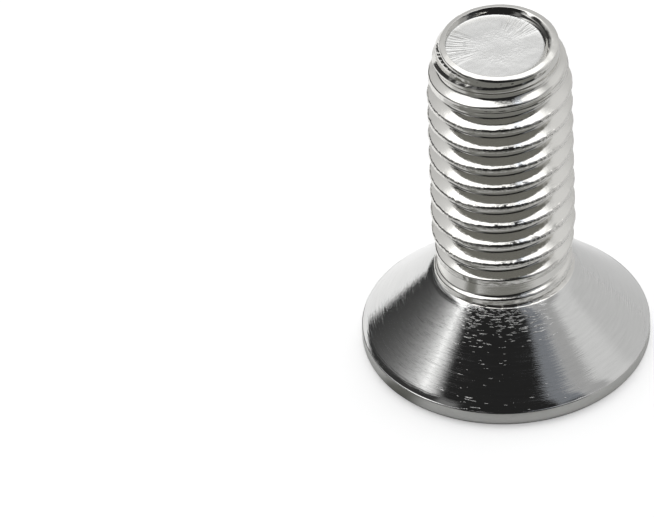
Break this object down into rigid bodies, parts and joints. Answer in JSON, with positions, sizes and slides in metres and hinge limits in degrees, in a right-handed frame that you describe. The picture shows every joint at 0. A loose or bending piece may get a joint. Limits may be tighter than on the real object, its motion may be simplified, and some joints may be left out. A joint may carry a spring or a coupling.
{
  "type": "countersunk hexagon-socket retaining screw",
  "caption": "Flat-head machine screw with a hexagon socket, a 90 degree cone under the head and a fully threaded shank, whose rolled-over tip has a raised lip round a shallow hollow.",
  "frame": {"origin": "centre of the head's flat face, on which the screw stands", "axes": "+Z along the screw's axis from the head to the tip, -Y towards the viewer of the picture"},
  "size_m": [0.012, 0.012, 0.0155],
  "materials": {
    "bright_steel": "bright stainless steel, turned marks on the cone, burnished rolled thread"
  },
  "bodies": {
    "root": {"screw": "bright_steel"}
  },
  "joints": []
}
